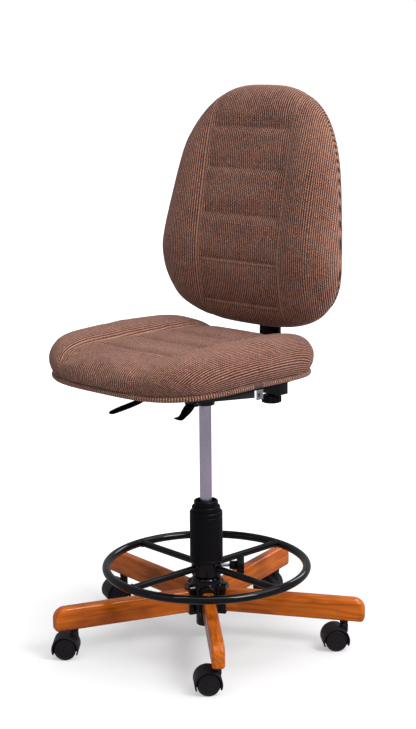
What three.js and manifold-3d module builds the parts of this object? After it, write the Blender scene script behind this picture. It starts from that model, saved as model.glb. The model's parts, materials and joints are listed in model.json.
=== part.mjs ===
// A drafting chair: five wooden legs on casters, a gas-lift column with a foot ring,
// a tilting mechanism, and an upholstered seat and backrest.
// Millimetres, +Z up, floor at z = 0. The sitter faces -Y, and their left hand is at +X.
import * as THREE from 'three';
import { mergeVertices } from 'three/addons/utils/BufferGeometryUtils.js';
import Module from 'manifold-3d';

// ---- driving dimensions ---------------------------------------------------------------
const GAP = 0.3; // running clearance between neighbouring pieces
const DEG = Math.PI / 180;

// The column stands a little off the middle of the footprint, which is the origin.
const COLUMN_X = 21.6;
const COLUMN_Y = -7.9;

const LEG_COUNT = 5;
const FRONT_LEG_AZIMUTH = -42.2 * DEG;
const LEG_START = 36;
const LEG_END = 369;
const LEG_UNDERSIDE = 68.5;
const LEG_HEIGHT = 53;
const LEG_THICKNESS = 28;
const LEG_TOE_RADIUS = 26;
const LEG_EDGE = 5;

const CASTER_RADIUS = 322; // from the column axis to each caster stem
const CASTER_TRAIL = 20;
const CASTER_AZIMUTHS = [-131, -131, -160, -115, -138].map((a) => a * DEG); // how each trails at rest
const WHEEL_RADIUS = 25;
const WHEEL_INNER = 7.8; // wheel faces, measured along the axle from the caster's middle
const WHEEL_OUTER = 25.6;
const HOOD_RADIUS = 30.5;
const HOOD_CAVITY = 26.6;
const HOOD_WEB = 7.3;
const HOOD_HALF_WIDTH = 26.5;
const HOOD_SKIRT = 14; // height of the skirt's lower edge
const AXLE_RADIUS = 3.9;
const STEM_RADIUS = 5.3;
const STEM_TOP = 104;

const HUB_BOTTOM = 64;
const HUB_TOP = 152;
const HUB_RADIUS = 36;
const SOCKET_REACH = 49;
const SOCKET_WALL = 3.5;
const SOCKET_TOP = 134;

const TUBE_RADIUS = 25; // outer column tube
const TUBE_WALL = 2;
const TUBE_BOTTOM = 33;
const TUBE_TOP = 300;
const CYLINDER_RADIUS = 14; // gas cylinder that carries the seat
const CYLINDER_BOTTOM = 262;
const CYLINDER_TOP = 590;
const ROD_RADIUS = 5;

const RING_HEIGHT = 173.6;
const RING_RADIUS = 231.7;
const RING_TUBE = 9.5;
const SPOKE_TUBE = 8;
const SPOKE_AZIMUTH = 87 * DEG;
const COLLAR_RADIUS = 35;
const COLLAR_BOTTOM = 153.5;
const COLLAR_TOP = 187;
const KNOB_AZIMUTH = 42 * DEG;

const COVER_BOTTOM = COLLAR_TOP + GAP;
const COVER_WALL = 2;

const HOUSING_HALF_WIDTH = 72;
const HOUSING_FRONT = -135;
const HOUSING_REAR = 88;
const HOUSING_TOP = 630;
const LEVER_PIN_Y = -98;
const LEVER_PIN_Z = 604;
const HEIGHT_PIN_Y = -38;
const HEIGHT_PIN_Z = 568;
const RECLINE_Y = 72;
const RECLINE_Z = 600;
const UPRIGHT_Y = 221.5;
const UPRIGHT_WIDTH = 60;
const UPRIGHT_THICKNESS = 8;
const SLEEVE_FRONT = 213;
const SLEEVE_BOTTOM = 544;
const SLEEVE_REAR = 244;
const KNOB_Y = 226;

const SEAT_WIDTH = 494;
const SEAT_FRONT = -322;
const SEAT_REAR = 164;
const SEAT_BOTTOM = 635;
const PIPING_RADIUS = 6;
const SEAT_SQUARENESS = 3.5;

const BACK_HALF_WIDTH = 246;
const BACK_BOTTOM = 719;
const BACK_TOP = 1263;

// ---- materials ------------------------------------------------------------------------
function finish(colour, roughness, metalness) {
  return new THREE.MeshStandardMaterial({ color: colour, roughness, metalness });
}
const MATERIAL = {
  fabric: () => finish(0x7d5549, 0.95, 0),
  wood: () => finish(0xb05a20, 0.3, 0),
  plywood: () => finish(0xc2a06a, 0.7, 0),
  plastic: () => finish(0x151417, 0.5, 0),
  nylon: () => finish(0x201d21, 0.6, 0),
  paint: () => finish(0x0c0c0e, 0.25, 0),
  satin: () => finish(0x8a8494, 0.35, 1),
  zinc: () => finish(0xb9b9bd, 0.35, 1),
};

// ---- solids ---------------------------------------------------------------------------
const wasm = await Module();
wasm.setup();

// The triangles of a geometry on shared vertices, without the ones that have no area.
function weld(geometry) {
  const bare = geometry.index ? geometry.toNonIndexed() : geometry.clone();
  for (const name of Object.keys(bare.attributes)) {
    if (name !== 'position') bare.deleteAttribute(name);
  }
  const merged = mergeVertices(bare, 1e-3);
  const kept = [];
  const all = merged.index.array;
  for (let i = 0; i < all.length; i += 3) {
    const [a, b, c] = [all[i], all[i + 1], all[i + 2]];
    if (a !== b && b !== c && c !== a) kept.push(a, b, c);
  }
  merged.setIndex(kept);
  return merged;
}

// Six times the signed volume: negative when the faces point inwards.
function signedVolume(geometry) {
  const at = (i) => new THREE.Vector3().fromBufferAttribute(geometry.attributes.position, i);
  const index = geometry.index.array;
  let sum = 0;
  for (let i = 0; i < index.length; i += 3) {
    sum += at(index[i]).dot(at(index[i + 1]).cross(at(index[i + 2])));
  }
  return sum;
}

function outward(geometry) {
  const shape = weld(geometry);
  if (signedVolume(shape) < 0) {
    const index = shape.index.array;
    for (let i = 0; i < index.length; i += 3) [index[i], index[i + 1]] = [index[i + 1], index[i]];
  }
  return shape;
}

function solid(geometry) {
  const shape = outward(geometry);
  const vertProperties = new Float32Array(shape.attributes.position.array);
  const triVerts = new Uint32Array(shape.index.array);
  return new wasm.Manifold(new wasm.Mesh({ numProp: 3, vertProperties, triVerts }));
}

function shapeOf(manifold) {
  const mesh = manifold.getMesh();
  const geometry = new THREE.BufferGeometry();
  geometry.setAttribute('position', new THREE.BufferAttribute(mesh.vertProperties, 3));
  geometry.setIndex(new THREE.BufferAttribute(mesh.triVerts, 1));
  return geometry;
}

// Join the first list, then cut the second list away.
function build(joined, cuts = []) {
  let result = solid(joined[0]);
  for (const extra of joined.slice(1)) result = result.add(solid(extra));
  for (const cut of cuts) result = result.subtract(solid(cut));
  return shapeOf(result);
}

// A turned piece about the Z axis, from [radius, height] pairs.
function turned(profile, sides = 24) {
  const points = profile.map(([r, z]) => new THREE.Vector2(r, z));
  return outward(new THREE.LatheGeometry(points, sides).rotateX(Math.PI / 2));
}

// A turned ring: the profile closes on itself.
function ring(profile, sides = 24) {
  return turned([...profile, profile[0]], sides);
}

function tube(inner, outer, bottom, top, sides = 24) {
  return ring([[inner, bottom], [outer, bottom], [outer, top], [inner, top]], sides);
}

function drum(radius, bottom, top, sides = 24) {
  return turned([[0, bottom], [radius, bottom], [radius, top], [0, top]], sides);
}

// A box from its lowest and highest corners.
function box(low, high) {
  const size = high.map((v, i) => v - low[i]);
  const middle = high.map((v, i) => (v + low[i]) / 2);
  return new THREE.BoxGeometry(...size).translate(...middle);
}

// A round bar along X, Y or Z through a point.
function bar(axis, radius, from, to, point, sides = 16) {
  const shape = drum(radius, from, to, sides);
  if (axis === 'x') shape.rotateY(Math.PI / 2);
  if (axis === 'y') shape.rotateX(-Math.PI / 2);
  return shape.translate(...point);
}

// An outline of [y, z] points, extruded along X from one side to the other.
function sidePlate(outline, from, to) {
  const shape = new THREE.Shape(outline.map(([y, z]) => new THREE.Vector2(y, z)));
  const plate = new THREE.ExtrudeGeometry(shape, { depth: to - from, bevelEnabled: false });
  const turn = new THREE.Matrix4().set(0, 0, 1, from, 1, 0, 0, 0, 0, 1, 0, 0, 0, 0, 0, 1);
  return plate.applyMatrix4(turn);
}

function moveVertices(geometry, move) {
  const position = geometry.attributes.position;
  for (let i = 0; i < position.count; i += 1) {
    const [x, y, z] = move(position.getX(i), position.getY(i), position.getZ(i));
    position.setXYZ(i, x, y, z);
  }
  return geometry;
}

// A turned shape of radius 1 at the rim, spread to an outline given by angle.
function spread(profile, outline, sides, closes = false) {
  const shape = closes ? ring(profile, sides) : turned(profile, sides);
  return moveVertices(shape, (x, y, z) => {
    const [ox, oy] = outline(Math.atan2(y, x));
    const reach = Math.hypot(x, y);
    return [ox * reach, oy * reach, z];
  });
}

const power = (value, exponent) => Math.sign(value) * Math.abs(value) ** exponent;

// ---- the scene graph ------------------------------------------------------------------
const chair = new THREE.Group();
chair.position.set(COLUMN_X, COLUMN_Y, 0);

function piece(name, geometry, material, parent = chair) {
  const mesh = new THREE.Mesh(geometry, material);
  mesh.name = name;
  parent.add(mesh);
  return mesh;
}

const legAzimuth = (k) => FRONT_LEG_AZIMUTH + (k * 2 * Math.PI) / LEG_COUNT;

// ---- base: hub and legs ---------------------------------------------------------------
function legOutline() {
  const top = LEG_UNDERSIDE + LEG_HEIGHT;
  const heel = 8;
  const shape = new THREE.Shape();
  shape.moveTo(LEG_START, LEG_UNDERSIDE);
  shape.lineTo(LEG_END - heel, LEG_UNDERSIDE);
  shape.absarc(LEG_END - heel, LEG_UNDERSIDE + heel, heel, -Math.PI / 2, 0, false);
  shape.absarc(LEG_END - LEG_TOE_RADIUS, top - LEG_TOE_RADIUS, LEG_TOE_RADIUS, 0, Math.PI / 2, false);
  shape.lineTo(LEG_START, top);
  return shape;
}

function legGeometry() {
  const board = new THREE.ExtrudeGeometry(legOutline(), {
    depth: LEG_THICKNESS - 2 * LEG_EDGE,
    bevelThickness: LEG_EDGE,
    bevelSize: LEG_EDGE,
    bevelOffset: -LEG_EDGE,
    bevelSegments: 1,
    curveSegments: 4,
  });
  board.translate(0, 0, LEG_EDGE - LEG_THICKNESS / 2).rotateX(Math.PI / 2);
  const stemHole = drum(STEM_RADIUS + GAP, LEG_UNDERSIDE - 1, STEM_TOP + 2, 12);
  return build([board], [stemHole.translate(CASTER_RADIUS, 0, 0)]);
}

// An arch, seen along the leg, extruded outwards from one radius to another.
function arch(halfWidth, bottom, top, corner, from, to) {
  const shape = new THREE.Shape();
  shape.moveTo(-halfWidth, bottom);
  shape.lineTo(halfWidth, bottom);
  shape.absarc(halfWidth - corner, top - corner, corner, 0, Math.PI / 2, false);
  shape.absarc(-halfWidth + corner, top - corner, corner, Math.PI / 2, Math.PI, false);
  const block = new THREE.ExtrudeGeometry(shape, { depth: to - from, bevelEnabled: false, curveSegments: 2 });
  const turn = new THREE.Matrix4().set(0, 0, 1, from, 1, 0, 0, 0, 0, 1, 0, 0, 0, 0, 0, 1);
  return block.applyMatrix4(turn);
}

function hubGeometry() {
  const half = LEG_THICKNESS / 2 + GAP;
  const body = turned([
    [0, HUB_BOTTOM], [HUB_RADIUS - 2, HUB_BOTTOM], [HUB_RADIUS, HUB_BOTTOM + 4],
    [HUB_RADIUS, HUB_TOP - 16], [HUB_RADIUS - 3, HUB_TOP - 6], [HUB_RADIUS - 8, HUB_TOP], [0, HUB_TOP],
  ], 24);
  const sockets = [];
  const cuts = [drum(TUBE_RADIUS + 2 * GAP, HUB_BOTTOM - 1, HUB_TOP + 1, 24)];
  for (let k = 0; k < LEG_COUNT; k += 1) {
    const slotFrom = LEG_START - GAP;
    const slotTop = LEG_UNDERSIDE + LEG_HEIGHT + GAP;
    sockets.push(arch(half + SOCKET_WALL, HUB_BOTTOM, SOCKET_TOP, 12, 26, SOCKET_REACH).rotateZ(legAzimuth(k)));
    cuts.push(arch(half, LEG_UNDERSIDE - GAP, slotTop, 3, slotFrom, SOCKET_REACH + 1).rotateZ(legAzimuth(k)));
  }
  return build([body, ...sockets], cuts);
}

piece('base_hub', hubGeometry(), MATERIAL.paint());
for (let k = 0; k < LEG_COUNT; k += 1) {
  piece(`leg_${k + 1}`, legGeometry(), MATERIAL.wood()).rotation.z = legAzimuth(k);
}

// ---- casters --------------------------------------------------------------------------
// In a caster's own frame the stem is the Z axis, and the wheels trail along +X.
function hoodGeometry() {
  const axle = [CASTER_TRAIL, 0, WHEEL_RADIUS];
  const shell = bar('y', HOOD_RADIUS, -HOOD_HALF_WIDTH, HOOD_HALF_WIDTH, axle, 24);
  const neck = drum(9.5, 38, 61.7, 12);
  const far = HOOD_HALF_WIDTH + 1;
  const cuts = [
    bar('y', HOOD_CAVITY, HOOD_WEB, far, axle, 24),
    bar('y', HOOD_CAVITY, -far, -HOOD_WEB, axle, 24),
    bar('y', AXLE_RADIUS + GAP, -far, far, axle, 12),
    drum(4.8, 31, 70, 12),
    box([-40, -40, -20], [80, 40, HOOD_SKIRT]),
  ];
  return build([shell, neck], cuts);
}

function wheelGeometry(side) {
  const bore = AXLE_RADIUS + 2 * GAP;
  const profile = [
    [bore, WHEEL_INNER], [WHEEL_RADIUS - 2, WHEEL_INNER], [WHEEL_RADIUS, WHEEL_INNER + 2],
    [WHEEL_RADIUS, WHEEL_OUTER - 3], [WHEEL_RADIUS - 3, WHEEL_OUTER], [bore, WHEEL_OUTER],
  ];
  return ring(profile, 18).rotateX((-side * Math.PI) / 2).translate(CASTER_TRAIL, 0, WHEEL_RADIUS);
}

function stemGeometry() {
  const collar = 10;
  return turned([
    [0, 33], [4.4, 33], [4.4, 62], [collar, 62], [collar, LEG_UNDERSIDE - GAP],
    [STEM_RADIUS, LEG_UNDERSIDE - GAP], [STEM_RADIUS, STEM_TOP], [0, STEM_TOP],
  ], 12);
}

for (let k = 0; k < LEG_COUNT; k += 1) {
  const caster = new THREE.Group();
  caster.position.set(CASTER_RADIUS * Math.cos(legAzimuth(k)), CASTER_RADIUS * Math.sin(legAzimuth(k)), 0);
  caster.rotation.z = CASTER_AZIMUTHS[k];
  chair.add(caster);
  const number = k + 1;
  piece(`caster_stem_${number}`, stemGeometry(), MATERIAL.paint(), caster);
  piece(`caster_hood_${number}`, hoodGeometry(), MATERIAL.nylon(), caster);
  const axleEnd = WHEEL_OUTER - 2;
  const axle = bar('y', AXLE_RADIUS, -axleEnd, axleEnd, [CASTER_TRAIL, 0, WHEEL_RADIUS], 12);
  piece(`caster_axle_${number}`, axle, MATERIAL.zinc(), caster);
  piece(`caster_wheel_${number}_left`, wheelGeometry(1), MATERIAL.nylon(), caster);
  piece(`caster_wheel_${number}_right`, wheelGeometry(-1), MATERIAL.nylon(), caster);
}

// ---- column ---------------------------------------------------------------------------
const floorPlate = TUBE_BOTTOM + 3;
piece('column_tube', ring([
  [6.2, floorPlate], [TUBE_RADIUS - TUBE_WALL, floorPlate], [TUBE_RADIUS - TUBE_WALL, TUBE_BOTTOM],
  [TUBE_RADIUS, TUBE_BOTTOM], [TUBE_RADIUS, TUBE_TOP], [TUBE_RADIUS - TUBE_WALL, TUBE_TOP],
  [TUBE_RADIUS - TUBE_WALL, floorPlate + 4], [6.2, floorPlate + 4],
]), MATERIAL.paint());
piece('guide_bush', ring([
  [CYLINDER_RADIUS + 2 * GAP, 215], [TUBE_RADIUS - TUBE_WALL - GAP, 215],
  [TUBE_RADIUS - TUBE_WALL - GAP, TUBE_TOP + GAP], [TUBE_RADIUS - 0.5, TUBE_TOP + GAP],
  [TUBE_RADIUS - 0.5, TUBE_TOP + 4], [CYLINDER_RADIUS + 2 * GAP, TUBE_TOP + 4],
]), MATERIAL.plastic());
piece('thrust_bearing', tube(5.6, 15, floorPlate + 4 + GAP, 50), MATERIAL.zinc());
piece('piston_rod', turned([
  [0, 27], [ROD_RADIUS, 27], [ROD_RADIUS, 50 + GAP], [9, 50 + GAP], [9, 54], [ROD_RADIUS, 54],
  [ROD_RADIUS, 277], [0, 277],
], 16), MATERIAL.zinc());
piece('gas_cylinder', turned([
  [0, CYLINDER_TOP], [13.2, CYLINDER_TOP], [CYLINDER_RADIUS, 548], [CYLINDER_RADIUS, CYLINDER_BOTTOM],
  [5.5, CYLINDER_BOTTOM], [5.5, CYLINDER_BOTTOM + 8], [11, CYLINDER_BOTTOM + 8], [11, 560], [0, 560],
]), MATERIAL.satin());

// A telescopic cover section: a lip at the top keeps the next section's foot inside.
function coverGeometry(radius, bottom, top, foot) {
  const inner = radius - COVER_WALL;
  const lip = inner - 2.5;
  const edge = foot > 0 ? [[inner, bottom], [radius + foot, bottom], [radius + foot, bottom + 4]]
    : [[inner, bottom], [radius, bottom]];
  return ring([
    ...edge, [radius, bottom + 4], [radius, top - 2], [radius - 2, top], [lip, top], [lip, top - 3],
    [inner, top - 3],
  ], 24);
}
piece('cover_lower', coverGeometry(38, COVER_BOTTOM, 306, 0), MATERIAL.plastic());
piece('cover_middle', coverGeometry(33, COVER_BOTTOM + 3, 318, 2.4), MATERIAL.plastic());
piece('cover_upper', coverGeometry(28, COVER_BOTTOM + 3, 331, 2.4), MATERIAL.plastic());

// ---- foot ring and its clamp knob -----------------------------------------------------
function footRingGeometry() {
  const hoop = new THREE.TorusGeometry(RING_RADIUS, RING_TUBE, 8, 48).translate(0, 0, RING_HEIGHT);
  const spokes = [0, 1, 2, 3].map((k) => bar('x', SPOKE_TUBE, 30, RING_RADIUS, [0, 0, RING_HEIGHT], 8)
    .rotateZ(SPOKE_AZIMUTH + (k * Math.PI) / 2));
  const collar = drum(COLLAR_RADIUS, COLLAR_BOTTOM, COLLAR_TOP, 24);
  const bore = drum(TUBE_RADIUS + 2 * GAP, COLLAR_BOTTOM - 1, COLLAR_TOP + 1, 24);
  const screwHole = bar('x', 4 + GAP, 0, 60, [0, 0, RING_HEIGHT], 12).rotateZ(KNOB_AZIMUTH);
  return build([hoop, ...spokes, collar], [bore, screwHole]);
}
piece('foot_ring', footRingGeometry(), MATERIAL.paint());

// A six-lobed knob head, drawn in the plane across its axis.
function lobedOutline(radius, lobes, depth) {
  const points = [];
  for (let i = 0; i < lobes * 6; i += 1) {
    const angle = (i / (lobes * 6)) * 2 * Math.PI;
    const reach = radius - (depth * (1 - Math.cos(lobes * angle))) / 2;
    points.push(new THREE.Vector2(reach * Math.cos(angle), reach * Math.sin(angle)));
  }
  return new THREE.Shape(points);
}

// The knob is moulded onto the head of its screw, so the two are one piece.
function clampKnobGeometry() {
  const head = new THREE.ExtrudeGeometry(lobedOutline(24.5, 6, 3), { depth: 17, bevelEnabled: false });
  head.rotateY(Math.PI / 2).translate(70, 0, 0);
  const neck = bar('x', 10.5, 53, 71, [0, 0, 0], 18);
  const screw = bar('x', 3.9, TUBE_RADIUS + GAP, 65, [0, 0, 0], 12);
  return build([neck, head, screw]);
}
const clampKnob = piece('clamp_knob', clampKnobGeometry(), MATERIAL.plastic());
clampKnob.position.z = RING_HEIGHT;
clampKnob.rotation.z = KNOB_AZIMUTH;

// ---- tilt mechanism -------------------------------------------------------------------
// The housing: an open-bottomed channel, with a cross plate that holds the taper socket and
// two ears for the height lever.
function housingGeometry() {
  const wall = [
    [HOUSING_FRONT, 590], [HOUSING_REAR, 566], [HOUSING_REAR, HOUSING_TOP], [HOUSING_FRONT, HOUSING_TOP],
  ];
  const ear = [[-50, 592], [-50, 566], [-42, 558], [-34, 558], [-26, 566], [-26, 592]];
  const outer = HOUSING_HALF_WIDTH;
  const parts = [
    sidePlate(wall, outer - 3, outer),
    sidePlate(wall, -outer, 3 - outer),
    box([-outer, HOUSING_FRONT, HOUSING_TOP - 4], [outer, HOUSING_REAR, HOUSING_TOP]),
    box([-outer, -52, 591], [outer, 28, 597]),
    sidePlate(ear, 9, 12),
    sidePlate(ear, -12, -9),
    drum(22, 556, 600, 24),
  ];
  const cuts = [
    turned([[0, 550], [14 + GAP, 550], [13.2 + GAP, CYLINDER_TOP + GAP], [0, CYLINDER_TOP + GAP]], 24),
    drum(6, 580, 620, 12),
    bar('x', 4 + GAP, -100, 100, [0, LEVER_PIN_Y, LEVER_PIN_Z], 12),
    bar('x', 3 + GAP, -20, 20, [0, HEIGHT_PIN_Y, HEIGHT_PIN_Z], 12),
    bar('x', 5 + GAP, -100, 100, [0, RECLINE_Y, RECLINE_Z], 14),
  ];
  return build(parts, cuts);
}
piece('mechanism_housing', housingGeometry(), MATERIAL.paint());
piece('release_button', drum(5.4, CYLINDER_TOP + GAP, 606, 12), MATERIAL.zinc());
piece('lever_pin', bar('x', 4, -76, 76, [0, LEVER_PIN_Y, LEVER_PIN_Z], 12), MATERIAL.zinc());
piece('height_lever_pin', bar('x', 3, -14, 14, [0, HEIGHT_PIN_Y, HEIGHT_PIN_Z], 12), MATERIAL.zinc());
piece('recline_pin', bar('x', 5, -78, 78, [0, RECLINE_Y, RECLINE_Z], 14), MATERIAL.zinc());

// A paddle lever: a boss on the pin, an arm that drops out of the housing, and a wider grip.
function reclineLeverGeometry() {
  const across = -57;
  const tip = -240;
  const neck = -148;
  const arm = [
    [LEVER_PIN_Y + 9, LEVER_PIN_Z], [LEVER_PIN_Y + 5, LEVER_PIN_Z + 8], [LEVER_PIN_Y - 7, LEVER_PIN_Z + 7],
    [LEVER_PIN_Y - 12, LEVER_PIN_Z - 6], [neck, 583], [tip + 20, 573], [tip + 20, 566], [neck, 574],
    [LEVER_PIN_Y, LEVER_PIN_Z - 14],
  ];
  const grip = [[tip + 60, 578], [tip + 12, 573], [tip, 568], [tip + 4, 563], [tip + 52, 567]];
  const pinHole = bar('x', 4 + GAP, -20, 20, [0, LEVER_PIN_Y, LEVER_PIN_Z], 12);
  return build([sidePlate(arm, -6, 6), sidePlate(grip, -10, 10)], [pinHole]).translate(across, 0, 0);
}

// A short lever under the taper socket that fans out to a grip in front of the column.
function heightLeverGeometry() {
  const arm = [[-29, 568], [-33, 576], [-43, 576], [-48, 564], [-76, 543], [-72, 536], [-48, 543], [-29, 551]];
  const grip = [[-52, 557], [-74, 543], [-87, 538], [-88, 533], [-75, 532], [-54, 542]];
  const pinHole = bar('x', 3 + GAP, -20, 20, [0, HEIGHT_PIN_Y, HEIGHT_PIN_Z], 12);
  return build([sidePlate(arm, -8, 8), sidePlate(grip, -13, 13)], [pinHole]);
}
piece('recline_lever', reclineLeverGeometry(), MATERIAL.plastic());
piece('height_lever', heightLeverGeometry(), MATERIAL.plastic());

// The arm that carries the backrest, from the recline pin to the sleeve for the upright.
function backArmGeometry() {
  const slotHalf = UPRIGHT_THICKNESS / 2 + GAP;
  const parts = [
    box([-34, RECLINE_Y - 12, 584], [34, SLEEVE_FRONT + 2, 616]),
    box([-36, SLEEVE_FRONT, SLEEVE_BOTTOM], [36, SLEEVE_REAR, 646]),
  ];
  const cuts = [
    bar('x', 5 + GAP, -60, 60, [0, RECLINE_Y, RECLINE_Z], 14),
    box(
      [-UPRIGHT_WIDTH / 2 - GAP, UPRIGHT_Y - slotHalf, SLEEVE_BOTTOM + 14],
      [UPRIGHT_WIDTH / 2 + GAP, UPRIGHT_Y + slotHalf, 700],
    ),
    box([-28, 98, 570], [28, 196, 612]),
    bar('z', 4 + GAP, SLEEVE_BOTTOM - 10, SLEEVE_BOTTOM + 10, [0, KNOB_Y, 0], 12),
  ];
  return build(parts, cuts);
}
piece('back_arm', backArmGeometry(), MATERIAL.paint());

// The knob under the sleeve, moulded onto its screw.
piece('back_knob', build([
  new THREE.ExtrudeGeometry(lobedOutline(24, 12, 1.4), { depth: 17, bevelEnabled: false }).translate(0, 0, -22),
  drum(9, -8, -GAP, 16),
  drum(3.9, -12, 9, 12),
]).translate(0, KNOB_Y, SLEEVE_BOTTOM), MATERIAL.plastic());
// The upright bar, with the welded wedge block that meets the sloping rear of the backrest.
// Its lower end is ground a hair slimmer, where it runs in the sleeve.
const uprightFront = UPRIGHT_Y - UPRIGHT_THICKNESS / 2;
const uprightRear = UPRIGHT_Y + UPRIGHT_THICKNESS / 2;
const TONGUE = { top: 650, relief: 0.2 };
const WEDGE = { bottom: 846, top: 924, frontAtBottom: 197.5, frontAtTop: 202.1, halfWidth: 26 };
piece('back_upright', build([
  box(
    [-UPRIGHT_WIDTH / 2 + TONGUE.relief, uprightFront + TONGUE.relief, SLEEVE_BOTTOM + 15],
    [UPRIGHT_WIDTH / 2 - TONGUE.relief, uprightRear - TONGUE.relief, TONGUE.top + 2],
  ),
  box([-UPRIGHT_WIDTH / 2, uprightFront, TONGUE.top], [UPRIGHT_WIDTH / 2, uprightRear, 930]),
  sidePlate([
    [uprightFront + 2, WEDGE.bottom],
    [uprightFront + 2, WEDGE.top],
    [WEDGE.frontAtTop, WEDGE.top],
    [WEDGE.frontAtBottom, WEDGE.bottom],
  ], -WEDGE.halfWidth, WEDGE.halfWidth),
]), MATERIAL.paint());

// The recline lock: a zinc-plated strap and its bolt, behind the housing's left wall.
piece('lock_strap', build(
  [box([60, 60, 596], [63, 127, 618]), box([60, 106, 556], [63, 127, 618])],
  [bar('x', 5 + GAP, 50, 70, [0, RECLINE_Y, RECLINE_Z], 14), bar('x', 3 + GAP, 50, 70, [0, 116.5, 566], 12)],
), MATERIAL.zinc());
piece('strap_bolt', build([
  bar('x', 5.5, 63 + GAP, 67, [0, 116.5, 566], 6), bar('x', 3, 57, 64, [0, 116.5, 566], 12),
]), MATERIAL.zinc());

// ---- seat -----------------------------------------------------------------------------
const SEAT_MIDDLE = (SEAT_FRONT + SEAT_REAR) / 2;
const SEAT_HALF_LENGTH = (SEAT_REAR - SEAT_FRONT) / 2;

// The seat's plan outline about its own middle: a rounded square, a little wider behind.
function seatOutline(angle) {
  const [c, s] = [Math.cos(angle), Math.sin(angle)];
  const along = power(s, 2 / SEAT_SQUARENESS);
  return [(SEAT_WIDTH / 2) * power(c, 2 / SEAT_SQUARENESS) * (1 + 0.03 * along), SEAT_HALF_LENGTH * along];
}

function onSeat(geometry) {
  return geometry.translate(0, SEAT_MIDDLE, 0);
}

// From 0 to 1 with level ends.
function ease(value) {
  const t = Math.min(1, Math.max(0, value));
  return t * t * (3 - 2 * t);
}

// Height of the cushion's top over the seat plan: raised sides, a dished middle, a rolled
// front edge and a lower rear edge.
function seatCrown(x, y) {
  const side = 17 * ease((Math.abs(x) - 90) / 100);
  const front = Math.max(0, (SEAT_FRONT + 110 - y) / 110);
  const rear = Math.max(0, (y - SEAT_REAR + 105) / 105);
  return side * (1 - 0.3 * front ** 2) - 14 * front ** 2 - 16 * rear ** 2;
}

// The seam where the piping runs rises along the sides, and is lowest at front and rear.
function seamRise(y) {
  return 9 * (1 - ((y - SEAT_MIDDLE) / SEAT_HALF_LENGTH) ** 2);
}

const cushionBottom = SEAT_BOTTOM + 13 + GAP;
const seatCushion = onSeat(spread([
  [0, cushionBottom], [0.95, cushionBottom], [0.985, 653], [1.015, 664], [1.028, 678], [1.01, 694],
  [0.96, 707], [0.87, 714], [0.62, 715], [0.3, 714], [0, 714],
], seatOutline, 40));
moveVertices(seatCushion, (x, y, z) => {
  const share = Math.max(0, (z - 664) / 50);
  const rise = z > cushionBottom ? seamRise(y) * (1 - Math.min(1, share)) : 0;
  return [x, y, z + rise + share * seatCrown(x, y)];
});
piece('seat_plate', box([-95, -125, HOUSING_TOP + GAP], [95, 110, SEAT_BOTTOM - 2 * GAP]), MATERIAL.paint());
piece('seat_board', onSeat(spread([
  [0, SEAT_BOTTOM], [0.92, SEAT_BOTTOM], [0.92, SEAT_BOTTOM + 13], [0, SEAT_BOTTOM + 13],
], seatOutline, 40)), MATERIAL.plastic());
piece('seat_cushion', seatCushion, MATERIAL.fabric());

function pipingSection(sides) {
  const section = [];
  for (let i = 0; i < sides; i += 1) {
    const angle = (i / sides) * 2 * Math.PI;
    const across = (PIPING_RADIUS * Math.cos(angle)) / (SEAT_WIDTH / 2);
    section.push([0.99 + across, SEAT_BOTTOM + 6.2 + PIPING_RADIUS * Math.sin(angle)]);
  }
  return section;
}
const piping = onSeat(spread(pipingSection(6), seatOutline, 48, true));
piece('seat_piping', moveVertices(piping, (x, y, z) => [x, y, z + seamRise(y)]), MATERIAL.fabric());

// ---- backrest -------------------------------------------------------------------------
const BACK_MIDDLE = (BACK_TOP + BACK_BOTTOM) / 2;
const BACK_HALF_HEIGHT = (BACK_TOP - BACK_BOTTOM) / 2;

// An egg, widest at its lower third.
function backOutline(angle) {
  const [c, s] = [Math.cos(angle), Math.sin(angle)];
  const up = power(s, 2 / 3);
  return [BACK_HALF_WIDTH * power(c, 2 / 3) * (1 - 0.193 * up), BACK_HALF_HEIGHT * up];
}

// How far back the backrest's middle surface lies at a height: forward at the small of the
// back, and leaning away above it.
function backSpine(z) {
  const lumbar = 890;
  const above = Math.max(0, z - lumbar) / (BACK_TOP - lumbar);
  const below = Math.max(0, lumbar - z) / (lumbar - BACK_BOTTOM);
  return 146 + 70 * above ** 1.2 + 24 * below ** 1.6;
}

// A backrest layer: its profile is [share of the outline, distance in front of the spine].
function backLayer(profile, sides = 40) {
  const layer = spread(profile, backOutline, sides);
  return moveVertices(layer, (x, y, z) => {
    const height = BACK_MIDDLE + y;
    return [x, backSpine(height) - z, height];
  });
}
piece('back_board', backLayer([[0, -34], [0.9, -34], [0.9, -24], [0, -24]]), MATERIAL.plywood());
piece('back_cushion', backLayer([
  [0, GAP - 24], [0.9, GAP - 24], [0.965, GAP - 24], [0.995, -8], [1, 8], [0.985, 26], [0.94, 40], [0.84, 46],
  [0.6, 46], [0.3, 44], [0, 44],
]), MATERIAL.fabric());
piece('back_cover', backLayer([
  [0, -34 - GAP], [0.905, -34 - GAP], [0.905, -24], [0.965, -24], [0.945, -36], [0.87, -43], [0.6, -45], [0, -45],
]), MATERIAL.fabric());

export default chair;
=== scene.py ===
# The drafting chair's finished look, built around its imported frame.
# Shapes are drawn in millimetres from the column's axis, with the floor at z = 0, and are
# turned into metres in the row's frame as each piece is made.
import json
import math
import random
import bmesh
import bpy
import numpy as np
from mathutils import Matrix, Vector


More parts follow.
